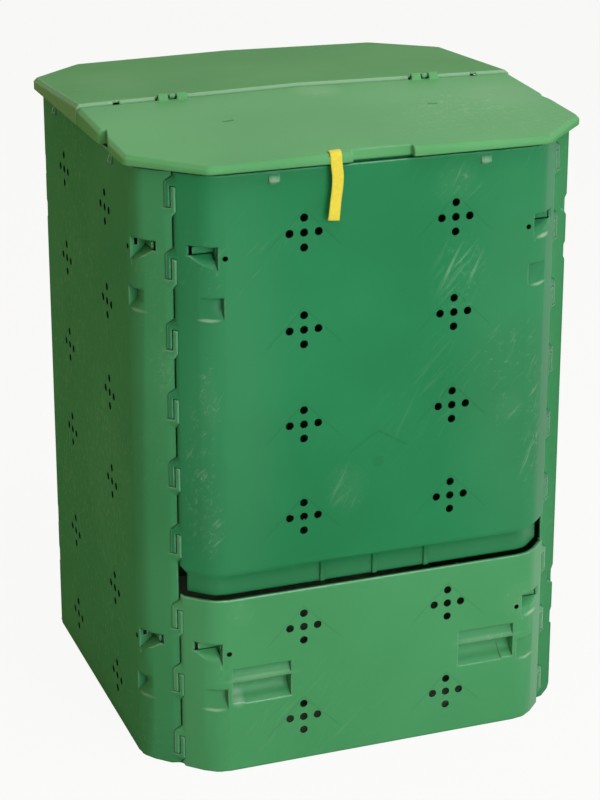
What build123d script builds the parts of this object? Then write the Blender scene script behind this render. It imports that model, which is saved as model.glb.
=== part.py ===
"""Free-standing compost bin: hooked corner panels, a lift-out door and a hinged two-part lid."""

import os
from math import radians, sin, sqrt, tan

from build123d import *

# Driving dimensions, in millimetres: +Z up, the front faces -Y, z = 0 is the ground
WALL_SPAN = 800.0  # outer face to outer face, both ways
CORNER_CUT = 104.0  # each corner is cut off at 45 degrees, this far along both faces
BODY_TOP = 1075.0  # the shoulder that runs round under the lid
WALL_T = 4.0  # moulded wall
BEND_R = 60.0  # outside radius of the upright bends
LAP = 1.0  # joins and cuts reach this far past the face that they meet
BEND_FLATS = 2  # each bend is rounded by this many narrow flats

# Corner seams: a V groove with hooks that lie flush in it
GROOVE_D = 8.0
FRONT_FLANK_W = 12.0  # groove flank on the front and rear panels
SIDE_FLANK_W = 16.3  # the gentler flank on the side panels
SEAM_GAP = 1.1  # each panel stops this far short of the seam
PIECE_GAP = 0.2  # further room between a hook's finger and the far panel
HOOK_REACH = 10.0  # how far a hook reaches past the seam
HOOK_PLAY = 0.7  # room round a hook
HOOK_ROOT = 2.0  # how far a hook's root runs back into its own panel
HOOK_H = 73.0  # foot of the lower hook to head of the upper one
HOOK_SLOPE_H = 13.0  # the sloped head and foot
HOOK_BAR_H = 5.0
UPPER_HOOK_FEET = [385.0 + 122.3 * row for row in range(6)]
DOOR_HOOK_FEET = [2.0 + 121.0 * row for row in range(3)]

# Neck that carries the lid
NECK_INSET = 13.0
NECK_TOP = 1090.0

# Vents: crosses of five holes, with a roof rib over each cross on the inner face
VENT_COLUMN = 135.6
VENT_PITCH = 25.5
VENT_R = 7.4  # over the corners of an eight-sided hole
VENT_SIDES = 8
UPPER_VENT_ROWS = [462.0, 630.0, 798.0, 966.0]
LOWER_VENT_ROWS = [81.0, 255.0]
ROOF_RISE = 40.5  # apex of the rib over the middle hole
ROOF_LEG = 76.0
RIB_T = 3.0
RIB_H = 8.0

# Latch pockets at the bends, and the finger scoops below them
UPPER_POCKET_TOP = 955.0
LOWER_POCKET_TOP = 245.0
POCKET_X = 283.0  # the pocket's inner side wall
POCKET_D = 28.0
POCKET_H = 42.0
POCKET_SLOT_H = 17.0
POCKET_BAR_H = 12.0
POCKET_BAR_END = 319.0
POCKET_WINDOW = (9.0, 15.0)  # depths between which the inner side wall is open
POCKET_WINDOW_DROP = 3.0
POCKET_SLIT_W = 2.2  # slit between the ramp and the inner side wall
POCKET_SLIT_START = 4.0
POCKET_EYE_X = 271.5  # small hole beside the pocket
POCKET_EYE_DROP = 20.0
POCKET_EYE_R = 4.6
SCOOP_DROP = 87.0  # top of the scoop below the top of the pocket
SCOOP_X = 274.0
SCOOP_D = 16.0
SCOOP_H = 39.0
SCOOP_RAMP = 0.45  # share of the scoop's height that its ramp takes

# Wedges that the lid's rim snaps over
CATCH_X = 188.0
CATCH_W = 18.0
CATCH_FOOT = 1056.0
CATCH_TOP = 1069.0
CATCH_D = 5.0

# The split of the front: the upper panel ends in a set-back strip above the door
UPPER_PANEL_FOOT = 379.0
STRIP_TOP = 364.0
STRIP_FOOT = 331.0
STRIP_INSET = 15.0
STRIP_RIB_PITCH = 97.0
STRIP_RIB_W = 8.0
STRIP_RIB_D = 4.0
DOOR_FOOT = 0.0
DOOR_TOP = 326.0
DOOR_FLANGE_D = 6.4

# Hand grips in the door: side views of (depth, z)
GRIP_INNER_X = 159.0
GRIP_PAD_X = 244.0  # from here outwards the ramp under the bar is raised
GRIP_OUTER_X = 266.0
GRIP_BLOCK = [(2, 198), (15, 198), (15, 178), (28, 173), (28, 145), (2, 118)]
GRIP_UPPER_HOLLOW = [(-1, 194), (9, 193), (9, 183), (5, 177), (-1, 171)]
GRIP_LOWER_HOLLOW = [(-1, 168.5), (24, 168.5), (24, 148), (12, 134), (-1, 126)]
GRIP_PAD_HOLLOW = [(-1, 168.5), (24, 168.5), (24, 150.5), (12, 136.5), (-1, 128.5)]

# Lid: a low roof with its ridge at the hinge
LID_HALF = 412.0
LID_FLAT = 302.0
LID_CORNER_R = 18.0
LID_T = 4.0
RIM_FOOT = 1080.0
RIM_CHAMFER = 6.0
RIDGE_BEVEL = 3.5  # along the front edge of the rear lid
RIM_MARGIN = 3.0  # edges this close to the outline belong to the rim
RIDGE_Z = 1124.0  # rear lid, at its middle
ROOF_FALL_X = 0.0173  # fall of the roof sideways from the middle
ROOF_FALL_Y = 0.0525  # fall of the roof away from the ridge
FRONT_STEP = 5.0  # the front lid lies this much lower at the ridge
RIDGE_Y = -10.0  # front edge of the rear lid
LID_GAP = 5.0  # between the two lids
LIP_FOOT = 1105.0  # both lids turn down this far at the ridge
GUTTER_FOOT = 1098.0  # rain gutter of the rear lid, under the gap
GUTTER_REACH = 20.0
GUTTER_T = 3.0
LID_RIB_X = (-200.0, 0.0, 200.0)

# Lid hinge
HINGE_X = 240.0
HINGE_Y = -13.0
HINGE_Z = 1119.5
PIN_R = 2.5
PIN_PLAY = 0.08
PIN_HOLD = 0.02
KNUCKLE_R = 5.4
EAR_R = 4.1
LUG_W = 18.0
LUG_TAIL = 9.0  # how far a lug runs out on the front lid's top
EAR_W = 10.0
EAR_ROOT = 3.0  # how far an ear thickens towards the rear lid
KNUCKLE_GAP = 3.0

# Hand notch, finger notches and strap of the front lid
HAND_NOTCH_W = 108.0
HAND_NOTCH_D = 14.0
SIDE_NOTCH_Y = (-217.0, -152.0)
SIDE_NOTCH_D = 15.0
SLIT_X = 189.0
SLIT_Y = -171.0
SLIT_W = 19.0
SLIT_LIP_D = 3.0
SLIT_LIP_H = 1.8
RIDGE_NOTCH_X = 340.0
RIDGE_NOTCH_W = 12.0
STRAP_X = -84.0
STRAP_W = 20.0
STRAP_T = 1.6
STRAP_SLOT_Y = -394.6
STRAP_SLOT_W = 22.0
STRAP_SLOT_D = 4.2
STRAP_END_Z = 986.0
STRAP_PIVOT_Z = 1078.4  # the hanging part swings here, just below the rim
STRAP_BOW = 1.5
STRAP_LIFT = 0.5  # clear of the lid
STRAP_EASE = 1.0  # the strap's line is cut back this much where it turns down
STRAP_FALL = 0.6  # fall of the strap's top towards the rim
HEM_T = 5.0
HEM_H = 8.0
HEM_FOOT = 1084.0

SQRT2 = sqrt(2)
HALF = WALL_SPAN / 2
FLAT_HALF = HALF - CORNER_CUT
SEAM = CORNER_CUT / SQRT2  # from a bend to the seam, along the wing


def wing_point(along, depth):
    """Plan point on the right-hand wing: along it from the bend, and depth inward."""
    return (FLAT_HALF + (along - depth) / SQRT2, -HALF + (along + depth) / SQRT2)


def bend_point(inset):
    """Plan point where flat and wing meet, on the line that runs inset inside the outer face."""
    return wing_point((SQRT2 - 1) * inset, inset)


def mirrored(points):
    """The same plan points on the left, in the order that carries the line on."""
    return [(-x, y) for x, y in reversed(points)]


def eased(before, corner, after, radius):
    """Plan points that round off a corner of a line with narrow flats."""
    middle = Vector(*corner)
    back = (Vector(*before) - middle).normalized()
    ahead = (Vector(*after) - middle).normalized()
    half = radians(back.get_angle(ahead)) / 2
    centre = middle + (back + ahead).normalized() * (radius / sin(half))
    start = middle + back * (radius / tan(half)) - centre
    end = middle + ahead * (radius / tan(half)) - centre
    spokes = [start * (1 - step / BEND_FLATS) + end * (step / BEND_FLATS) for step in range(BEND_FLATS + 1)]
    points = [centre + spoke.normalized() * radius for spoke in spokes]
    return [(point.X, point.Y) for point in points]


def bend_line(inset):
    """The right-hand bend of a line that runs inset inside the outer face."""
    corner = bend_point(inset)
    return eased((0, corner[1]), corner, wing_point(SEAM, inset), BEND_R - inset)


def wall_plan(points, height):
    """Plan of a moulded wall at a height: a line from the middle to the right, both ways, WALL_T thick."""
    with BuildSketch(Plane.XY.offset(height)) as plan:
        with BuildLine():
            Polyline(*mirrored(points), *points)
            offset(amount=WALL_T, side=Side.LEFT, kind=Kind.INTERSECTION)
        make_face()
    return plan.sketch


def panel_plan(flank_w, height):
    """Plan of a whole panel, from seam to seam, with its groove flanks."""
    flank = [wing_point(SEAM - flank_w, 0), wing_point(SEAM - SEAM_GAP, GROOVE_D)]
    return wall_plan(bend_line(0) + flank, height)


def band_plan(inset, width, along, height):
    """Plan of a flat band that follows the bends, width deep from the line at inset."""
    outer = bend_line(inset) + [wing_point(along, inset)]
    inner = bend_line(inset + width) + [wing_point(along, inset + width)]
    with BuildSketch(Plane.XY.offset(height)) as plan:
        Polygon(*mirrored(outer), *outer, *inner[::-1], *mirrored(inner)[::-1], align=None)
    return plan.sketch


def hook(own_flank, far_flank, standing):
    """One right-hand corner hook with its foot at z = 0, to be added to a panel."""
    near = SEAM - own_flank
    reach = SEAM + HOOK_REACH
    root = SEAM + SEAM_GAP + PIECE_GAP

    def far_depth(along):
        return GROOVE_D * (SEAM + far_flank - along) / far_flank - HOOK_PLAY

    bar = [
        wing_point(near - HOOK_ROOT, 0),
        wing_point(reach, 0),
        wing_point(reach, far_depth(reach)),
        wing_point(root, far_depth(root)),
        wing_point(SEAM - 2 * SEAM_GAP, GROOVE_D + SEAM_GAP),
        wing_point(near - HOOK_ROOT, WALL_T / 2),
    ]
    finger = [
        wing_point(root, 0),
        wing_point(reach, 0),
        wing_point(reach, far_depth(reach)),
        wing_point(root, far_depth(root)),
    ]
    bar_z = 0 if standing else HOOK_H - HOOK_SLOPE_H - HOOK_BAR_H
    finger_z = HOOK_SLOPE_H if standing else HOOK_SLOPE_H + HOOK_BAR_H + 2 * HOOK_PLAY
    finger_h = HOOK_H - 2 * HOOK_SLOPE_H - HOOK_BAR_H - 2 * HOOK_PLAY
    slope_tip = 0 if standing else HOOK_H
    slope_top = HOOK_SLOPE_H if standing else HOOK_H - HOOK_SLOPE_H
    beyond = 2 * slope_tip - slope_top
    seam_plane = Plane(origin=(*wing_point(SEAM, 0), 0), x_dir=(-1, 1, 0), z_dir=(1, 1, 0))
    slope = [
        (-LAP, slope_top),
        (0, slope_top),
        (GROOVE_D, slope_tip),
        (2 * GROOVE_D, slope_tip),
        (2 * GROOVE_D, beyond),
        (-LAP, beyond),
    ]
    with BuildPart() as shape:
        with BuildSketch(Plane.XY.offset(bar_z)):
            Polygon(*bar, align=None)
        extrude(amount=HOOK_SLOPE_H + HOOK_BAR_H)
        with BuildSketch(Plane.XY.offset(finger_z)):
            Polygon(*finger, align=None)
        extrude(amount=finger_h)
        with BuildSketch(seam_plane):
            Polygon(*slope, align=None)
        extrude(amount=SEAM, both=True, mode=Mode.SUBTRACT)
    return shape.part


hanging_hook = hook(FRONT_FLANK_W, SIDE_FLANK_W, standing=False)
standing_hook = hook(SIDE_FLANK_W, FRONT_FLANK_W, standing=True)


def pair(shape):
    """A right-hand shape and its mirror image."""
    return [shape, mirror(shape, about=Plane.YZ, mode=Mode.PRIVATE)]


def slab(x_low, x_high, profile):
    """A prism along X: profile points are (depth behind the outer face, z)."""
    with BuildSketch(Plane.YZ.offset(x_low)) as side:
        Polygon(*[(depth - HALF, z) for depth, z in profile], align=None)
    return extrude(side.sketch, amount=x_high - x_low, mode=Mode.PRIVATE)


def side_box(front, back, low, high):
    """Profile of a plain rectangle, for slab."""
    return [(front, low), (back, low), (back, high), (front, high)]


def backing(x_low, depth, low, high):
    """Block behind a pocket at the right-hand bend, kept inside the wall's outer skin."""
    skin = WALL_T / 2
    wing_end = wing_point(depth * SQRT2 - skin, skin)
    with BuildSketch(Plane.XY.offset(low)) as plan:
        Polygon(
            (x_low, skin - HALF),
            *bend_line(skin)[1:],
            wing_end,
            (x_low, depth - HALF),
            align=None,
        )
    return extrude(plan.sketch, amount=high - low, mode=Mode.PRIVATE)


def eye(x, z):
    """Small hole through the face, to be cut."""
    with BuildSketch(Plane.XZ.offset(HALF + LAP)) as hole:
        with Locations((x, z)):
            RegularPolygon(POCKET_EYE_R, VENT_SIDES, rotation=180 / VENT_SIDES)
    return extrude(hole.sketch, amount=-(WALL_T + 2 * LAP), mode=Mode.PRIVATE)


def scoop_top(pocket_top):
    return pocket_top - SCOOP_DROP


def corner_blocks(top):
    """Material behind the latch pocket and the scoop."""
    pocket = backing(POCKET_X - WALL_T, POCKET_D + WALL_T, top - POCKET_H - WALL_T, top + WALL_T)
    high = scoop_top(top)
    scoop = backing(SCOOP_X - WALL_T, SCOOP_D + WALL_T, high - SCOOP_H - WALL_T, high + WALL_T)
    return pair(pocket) + pair(scoop)


def corner_cuts(top):
    """Hollows of the latch pocket, its rear slot, side window, slit and eye, and of the scoop."""
    floor = top - POCKET_H
    slot_foot = top - POCKET_SLOT_H
    front, back = POCKET_D - LAP, POCKET_D + WALL_T + LAP
    hollow = [(-LAP, floor - LAP), (0, floor), (POCKET_D, slot_foot), (POCKET_D, top), (-LAP, top)]
    slit_low, slit_high = floor - WALL_T - LAP, floor + POCKET_SLIT_START / 2
    slit = [
        (POCKET_SLIT_START, slit_high),
        (front, slot_foot),
        (back, slot_foot),
        (back, slit_low),
        (POCKET_SLIT_START, slit_low),
    ]
    high = scoop_top(top)
    low = high - SCOOP_H
    ramp_top = low + SCOOP_RAMP * SCOOP_H
    scoop = [(-LAP, low - LAP), (0, low), (SCOOP_D, ramp_top), (SCOOP_D, high), (-LAP, high)]
    side_wall = POCKET_X - WALL_T
    window = side_box(*POCKET_WINDOW, slot_foot + LAP, top - POCKET_WINDOW_DROP)
    cuts = [
        slab(POCKET_X, HALF, hollow),
        slab(POCKET_X + 2 * LAP, HALF, side_box(front, back, slot_foot, top)),
        slab(side_wall - LAP, POCKET_X + LAP, window),
        slab(POCKET_X, POCKET_X + POCKET_SLIT_W, slit),
        eye(POCKET_EYE_X, top - POCKET_EYE_DROP),
        slab(SCOOP_X, HALF, scoop),
    ]
    return [shape for cut in cuts for shape in pair(cut)]


def corner_bars(top):
    """The flat bar that stands across the slot of each latch pocket."""
    low = top - (POCKET_SLOT_H + POCKET_BAR_H) / 2
    profile = side_box(POCKET_D, POCKET_D + WALL_T, low, low + POCKET_BAR_H)
    return pair(slab(POCKET_X - LAP, POCKET_BAR_END, profile))


def lid_catches():
    """Wedges on the face, just under the lid's rim."""
    wedge = [(LAP, CATCH_FOOT), (-CATCH_D, CATCH_FOOT), (-LAP, CATCH_TOP), (LAP, CATCH_TOP)]
    return pair(slab(CATCH_X - CATCH_W / 2, CATCH_X + CATCH_W / 2, wedge))


def add_neck():
    """Shoulder and neck that carry the lid."""
    end = SEAM - SIDE_FLANK_W
    extrude(band_plan(0, NECK_INSET + WALL_T, end, BODY_TOP - WALL_T), amount=WALL_T)
    line = bend_line(NECK_INSET) + [wing_point(end, NECK_INSET)]
    extrude(wall_plan(line, BODY_TOP - LAP), amount=NECK_TOP - BODY_TOP + LAP)


def add_hooks(shape, feet):
    """Hooks at both ends of the panel, one pair at each height."""
    with Locations(*[(0, 0, foot) for foot in feet]):
        add(pair(shape))


def add_vent_roofs(rows):
    """A roof rib over each vent cross on the inner face, to keep the holes clear."""
    width = RIB_T * SQRT2
    roof = [
        (0, 0),
        (ROOF_LEG, -ROOF_LEG),
        (ROOF_LEG - width, -ROOF_LEG),
        (0, -width),
        (width - ROOF_LEG, -ROOF_LEG),
        (-ROOF_LEG, -ROOF_LEG),
    ]
    with BuildSketch(Plane.XZ.offset(HALF - WALL_T / 2)) as roofs:
        with Locations(*[(x, row + ROOF_RISE) for row in rows for x in (-VENT_COLUMN, VENT_COLUMN)]):
            Polygon(*roof, align=None)
    extrude(roofs.sketch, amount=-(RIB_H + WALL_T / 2))


def cut_vents(rows):
    """Vent crosses through the face."""
    arms = [(0, 0), (VENT_PITCH, 0), (-VENT_PITCH, 0), (0, VENT_PITCH), (0, -VENT_PITCH)]
    spots = [(x, row) for row in rows for x in (-VENT_COLUMN, VENT_COLUMN)]
    with BuildSketch(Plane.XZ.offset(HALF + LAP)) as holes:
        with Locations(*[(x + dx, z + dz) for x, z in spots for dx, dz in arms]):
            RegularPolygon(VENT_R, VENT_SIDES, rotation=180 / VENT_SIDES)
    extrude(holes.sketch, amount=-(WALL_T + 2 * LAP), mode=Mode.SUBTRACT)


def add_panel_features(vent_rows, pocket_tops, extra_blocks=(), extra_cuts=()):
    """Moulded features shared by all panels, in one join, one cut and one more join."""
    add_vent_roofs(vent_rows)
    add([shape for top in pocket_tops for shape in corner_blocks(top)] + list(extra_blocks))
    add(
        [shape for top in pocket_tops for shape in corner_cuts(top)] + list(extra_cuts),
        mode=Mode.SUBTRACT,
    )
    add([shape for top in pocket_tops for shape in corner_bars(top)])


ALL_HOOK_FEET = DOOR_HOOK_FEET + UPPER_HOOK_FEET
ALL_VENT_ROWS = LOWER_VENT_ROWS + UPPER_VENT_ROWS
BOTH_POCKETS = [LOWER_POCKET_TOP, UPPER_POCKET_TOP]

# Side walls, drawn facing the front and then turned to their places
with BuildPart() as side_panel:
    extrude(panel_plan(SIDE_FLANK_W, 0), amount=BODY_TOP)
    add_neck()
    add_panel_features(ALL_VENT_ROWS, BOTH_POCKETS, extra_blocks=lid_catches())
    add_hooks(standing_hook, ALL_HOOK_FEET)
    cut_vents(ALL_VENT_ROWS)

with BuildPart() as left_wall:
    add(side_panel.part.rotate(Axis.Z, -90))
left_wall.part.label = "left_wall"

with BuildPart() as right_wall:
    add(side_panel.part.rotate(Axis.Z, 90))
right_wall.part.label = "right_wall"

# Rear wall: the front's flanks and hooks, in one piece from ground to lid
with BuildPart() as rear_panel:
    extrude(panel_plan(FRONT_FLANK_W, 0), amount=BODY_TOP)
    add_neck()
    add_panel_features(ALL_VENT_ROWS, BOTH_POCKETS, extra_blocks=lid_catches())
    add_hooks(hanging_hook, ALL_HOOK_FEET)
    cut_vents(ALL_VENT_ROWS)

with BuildPart() as rear_wall:
    add(rear_panel.part.rotate(Axis.Z, 180))
rear_wall.part.label = "rear_wall"


def strip_plan(inset, height):
    """Plan of the set-back strip at the foot of the upper front panel."""
    return wall_plan(bend_line(inset) + [wing_point(SEAM - FRONT_FLANK_W, inset)], height)


def strip_rib(x_mid):
    """Upright rib on the outside of the strip."""
    head = (STRIP_TOP + UPPER_PANEL_FOOT) / 2
    profile = side_box(STRIP_INSET - STRIP_RIB_D, STRIP_INSET + LAP, STRIP_FOOT, head)
    return slab(x_mid - STRIP_RIB_W / 2, x_mid + STRIP_RIB_W / 2, profile)


# Upper front panel, set back at its foot where the door closes over it
with BuildPart() as front_upper_wall:
    extrude(panel_plan(FRONT_FLANK_W, UPPER_PANEL_FOOT), amount=BODY_TOP - UPPER_PANEL_FOOT)
    add_neck()
    loft([strip_plan(0, UPPER_PANEL_FOOT).face(), strip_plan(STRIP_INSET, STRIP_TOP).face()], ruled=True)
    extrude(strip_plan(STRIP_INSET, STRIP_FOOT), amount=STRIP_TOP - STRIP_FOOT)
    ribs = [strip_rib(x) for x in (-STRIP_RIB_PITCH, 0, STRIP_RIB_PITCH)]
    add_panel_features(UPPER_VENT_ROWS, [UPPER_POCKET_TOP], extra_blocks=lid_catches() + ribs)
    add_hooks(hanging_hook, UPPER_HOOK_FEET)
    cut_vents(UPPER_VENT_ROWS)
front_upper_wall.part.label = "front_upper_wall"

# Lift-out door, hung on the same kind of hooks, with two hand grips
with BuildPart() as front_door:
    extrude(panel_plan(FRONT_FLANK_W, DOOR_FOOT), amount=DOOR_TOP - DOOR_FOOT)
    flange = band_plan(0, DOOR_FLANGE_D, SEAM - FRONT_FLANK_W, DOOR_TOP - WALL_T)
    extrude(flange, amount=WALL_T)
    add_panel_features(
        LOWER_VENT_ROWS,
        [LOWER_POCKET_TOP],
        extra_blocks=pair(slab(GRIP_INNER_X - WALL_T, GRIP_OUTER_X + WALL_T, GRIP_BLOCK)),
        extra_cuts=pair(slab(GRIP_INNER_X, GRIP_OUTER_X, GRIP_UPPER_HOLLOW))
        + pair(slab(GRIP_INNER_X, GRIP_PAD_X, GRIP_LOWER_HOLLOW))
        + pair(slab(GRIP_PAD_X, GRIP_OUTER_X, GRIP_PAD_HOLLOW)),
    )
    add_hooks(hanging_hook, DOOR_HOOK_FEET)
    cut_vents(LOWER_VENT_ROWS)
front_door.part.label = "front_door"


FRONT_EDGE_Y = RIDGE_Y - LID_GAP
FRONT_RIDGE_Z = RIDGE_Z - FRONT_STEP
FRONT_CORNER = (LID_FLAT, -LID_HALF)
SIDE_CORNER = (LID_HALF, -LID_FLAT)
LID_CORNER = eased((0, -LID_HALF), FRONT_CORNER, SIDE_CORNER, LID_CORNER_R)
LID_CORNER += eased(FRONT_CORNER, SIDE_CORNER, (LID_HALF, 0), LID_CORNER_R)


def front_roof(x, y):
    """Height of the front lid's top."""
    return FRONT_RIDGE_Z - ROOF_FALL_X * abs(x) - ROOF_FALL_Y * (FRONT_EDGE_Y - y)


def rear_roof(x, y):
    """Height of the rear lid's top."""
    return RIDGE_Z - ROOF_FALL_X * abs(x) - ROOF_FALL_Y * (y - RIDGE_Y)


def roofed(outline, foot, roof, y_ridge, shrink=0, bevel=0):
    """A half-lid block: its outline from the foot up to the two planes of the roof."""
    tilt = ROOF_FALL_Y if roof is rear_roof else -ROOF_FALL_Y
    crown = roof(0, y_ridge) - shrink
    bevel_top = (0, y_ridge, crown - bevel)
    with BuildPart() as block:
        with BuildSketch(Plane.XY.offset(foot)):
            Polygon(*outline, align=None)
            if shrink:
                offset(amount=-shrink, kind=Kind.INTERSECTION)
        extrude(amount=2 * (RIDGE_Z - foot))
        for side in (-ROOF_FALL_X, ROOF_FALL_X):
            split(bisect_by=Plane(origin=(0, y_ridge, crown), z_dir=(side, tilt, 1)), keep=Keep.BOTTOM)
            if bevel:
                split(bisect_by=Plane(origin=bevel_top, z_dir=(side, -1, 1)), keep=Keep.BOTTOM)
    return block.part


def rim_edges(lid):
    """Edges where the roof meets the outer rim, but not its notches or the ridge."""
    tops = [face for face in lid.faces() if face.normal_at().Z > 0.9]
    middles = [(edge, abs(edge.center().X), abs(edge.center().Y)) for face in tops for edge in face.edges()]
    side_line = LID_HALF - RIM_MARGIN
    corner_line = LID_HALF + LID_FLAT - 4 * RIM_MARGIN
    return [edge for edge, x, y in middles if max(x, y) > side_line or x + y > corner_line]


def lid_rib(x_mid, y_from, y_to, roof):
    """Stiffening rib under a lid; its flat foot rests on the neck."""
    sunk = LID_T / 2
    profile = [
        (y_from + HALF, NECK_TOP),
        (y_to + HALF, NECK_TOP),
        (y_to + HALF, roof(x_mid, y_to) - sunk),
        (y_from + HALF, roof(x_mid, y_from) - sunk),
    ]
    return slab(x_mid - RIB_T / 2, x_mid + RIB_T / 2, profile)


def knuckle(x_mid, width, outline):
    """Hinge knuckle: a block of the side-view outline of (y, z) points, tied to its lid."""
    with BuildSketch(Plane.YZ.offset(x_mid - width / 2)) as side:
        Polygon(*outline, align=None)
    return extrude(side.sketch, amount=width, mode=Mode.PRIVATE)


def pin_bores(radius):
    """Bores along both hinge pins."""
    with BuildSketch(Plane.YZ.offset(HINGE_X - PIN_LENGTH)) as bore:
        with Locations((HINGE_Y, HINGE_Z)):
            Circle(radius)
    return pair(extrude(bore.sketch, amount=2 * PIN_LENGTH, mode=Mode.PRIVATE))


PIN_LENGTH = 2 * LUG_W + EAR_W + 2 * KNUCKLE_GAP
LUG_OFFSET = (LUG_W + EAR_W) / 2 + KNUCKLE_GAP
LUG_SPOTS = [HINGE_X - LUG_OFFSET, HINGE_X + LUG_OFFSET]
NOTCH_HALF = HAND_NOTCH_W / 2
NOTCH_BACK = -LID_HALF + HAND_NOTCH_D
SIDE_NOTCH_X = LID_HALF - SIDE_NOTCH_D
LIP_SPAN = 2 * (LID_HALF - LID_T)
LIP_OPENING = LIP_FOOT - RIM_FOOT

FRONT_RIGHT = [
    (NOTCH_HALF, NOTCH_BACK),
    (NOTCH_HALF, -LID_HALF),
    *LID_CORNER,
    (LID_HALF, SIDE_NOTCH_Y[0]),
    (SIDE_NOTCH_X, SIDE_NOTCH_Y[1]),
    (LID_HALF, SIDE_NOTCH_Y[1]),
    (LID_HALF, FRONT_EDGE_Y),
]
FRONT_OUTLINE = mirrored(FRONT_RIGHT) + FRONT_RIGHT
front_block = roofed(FRONT_OUTLINE, RIM_FOOT, front_roof, FRONT_EDGE_Y)
front_hollow = roofed(FRONT_OUTLINE, RIM_FOOT - LAP, front_roof, FRONT_EDGE_Y, shrink=LID_T)

LUG_ROOF = front_roof(HINGE_X, FRONT_EDGE_Y)
LUG_OUTLINE = [
    (HINGE_Y + KNUCKLE_R, HINGE_Z + KNUCKLE_R / 2),
    (HINGE_Y + KNUCKLE_R / 2, HINGE_Z + KNUCKLE_R),
    (HINGE_Y - KNUCKLE_R / 2, HINGE_Z + KNUCKLE_R),
    (FRONT_EDGE_Y - LUG_TAIL, LUG_ROOF - LAP),
    (FRONT_EDGE_Y, LUG_ROOF - LID_T),
    (HINGE_Y + KNUCKLE_R / 2, HINGE_Z - KNUCKLE_R),
    (HINGE_Y + KNUCKLE_R, HINGE_Z - KNUCKLE_R / 2),
]

# Front lid: hand notch, side finger notches, strap slot, top slits and hinge lugs
with BuildPart() as front_lid:
    add(front_block)
    chamfer(rim_edges(front_lid), RIM_CHAMFER)
    add(front_hollow, mode=Mode.SUBTRACT)
    with Locations((0, FRONT_EDGE_Y - LID_T / 2, RIM_FOOT + LIP_OPENING / 2)):
        Box(LIP_SPAN, LID_T + 2 * LAP, LIP_OPENING, mode=Mode.SUBTRACT)
    rib_start = NOTCH_BACK + LID_T - LAP
    rib_end = RIDGE_Y - GUTTER_REACH - LID_T
    add([lid_rib(x, rib_start, rib_end, front_roof) for x in LID_RIB_X])
    add([lug for x in LUG_SPOTS for lug in pair(knuckle(x, LUG_W, LUG_OUTLINE))])
    add(pin_bores(PIN_R + PIN_PLAY), mode=Mode.SUBTRACT)
    slit_z = front_roof(SLIT_X, SLIT_Y)
    with Locations((-SLIT_X, SLIT_Y, slit_z), (SLIT_X, SLIT_Y, slit_z)):
        Box(SLIT_W, SLIT_LIP_D, 2 * SLIT_LIP_H)
    with Locations((-SLIT_X, SLIT_Y - SLIT_LIP_D, slit_z), (SLIT_X, SLIT_Y - SLIT_LIP_D, slit_z)):
        Box(SLIT_W, SLIT_LIP_D, 4 * LID_T, mode=Mode.SUBTRACT)
    with Locations((STRAP_X, STRAP_SLOT_Y, front_roof(STRAP_X, STRAP_SLOT_Y))):
        Box(STRAP_SLOT_W, STRAP_SLOT_D, 4 * LID_T, mode=Mode.SUBTRACT)
front_lid.part.label = "front_lid"

REAR_RIGHT = [(LID_HALF, RIDGE_Y)] + [(x, -y) for x, y in reversed(LID_CORNER)]
REAR_OUTLINE = REAR_RIGHT + mirrored(REAR_RIGHT)
rear_block = roofed(REAR_OUTLINE, RIM_FOOT, rear_roof, RIDGE_Y, bevel=RIDGE_BEVEL)
rear_hollow = roofed(REAR_OUTLINE, RIM_FOOT - LAP, rear_roof, RIDGE_Y, shrink=LID_T)

EAR_OUTLINE = [
    (HINGE_Y + EAR_R / 2, HINGE_Z + EAR_R),
    (HINGE_Y - EAR_R / 2, HINGE_Z + EAR_R),
    (HINGE_Y - EAR_R, HINGE_Z + EAR_R / 2),
    (HINGE_Y - EAR_R, HINGE_Z - EAR_R / 2),
    (HINGE_Y, HINGE_Z - EAR_R),
    (RIDGE_Y + LID_T, HINGE_Z - EAR_R - EAR_ROOT),
    (RIDGE_Y + LID_T, rear_roof(HINGE_X, RIDGE_Y) - LAP),
]

# Rear lid: fixed half, with the rain gutter, the hinge ears and cut-outs for the front lid's lugs
with BuildPart() as rear_lid:
    add(rear_block)
    chamfer(rim_edges(rear_lid), RIM_CHAMFER)
    add(rear_hollow, mode=Mode.SUBTRACT)
    with Locations((0, RIDGE_Y + LID_T / 2, RIM_FOOT + LIP_OPENING / 2)):
        Box(LIP_SPAN, LID_T + 2 * LAP, LIP_OPENING, mode=Mode.SUBTRACT)
    add([lid_rib(x, RIDGE_Y + LAP, LID_HALF - LID_T - LAP, rear_roof) for x in LID_RIB_X])
    lug_cuts = [(side * x, RIDGE_Y, RIDGE_Z) for side in (-1, 1) for x in LUG_SPOTS]
    with Locations(*lug_cuts):
        Box(LUG_W + 2 * KNUCKLE_GAP, 2 * LID_T, 2 * (RIDGE_Z - LIP_FOOT), mode=Mode.SUBTRACT)
    with Locations((-RIDGE_NOTCH_X, RIDGE_Y, RIDGE_Z), (RIDGE_NOTCH_X, RIDGE_Y, RIDGE_Z)):
        Box(RIDGE_NOTCH_W, 2 * LID_T, 2 * (RIDGE_Z - LIP_FOOT), mode=Mode.SUBTRACT)
    gutter_w = LIP_SPAN - 2 * LID_T
    low_corner = (Align.CENTER, Align.MIN, Align.MIN)
    with Locations((0, RIDGE_Y - GUTTER_REACH, GUTTER_FOOT)):
        Box(gutter_w, GUTTER_REACH + LID_T, GUTTER_T, align=low_corner)
    with Locations((0, RIDGE_Y, GUTTER_FOOT)):
        Box(gutter_w, LID_T, LIP_FOOT - GUTTER_FOOT + LAP, align=low_corner)
    add(pair(knuckle(HINGE_X, EAR_W, EAR_OUTLINE)))
    add(pin_bores(PIN_R + PIN_HOLD), mode=Mode.SUBTRACT)
rear_lid.part.label = "rear_lid"

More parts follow.
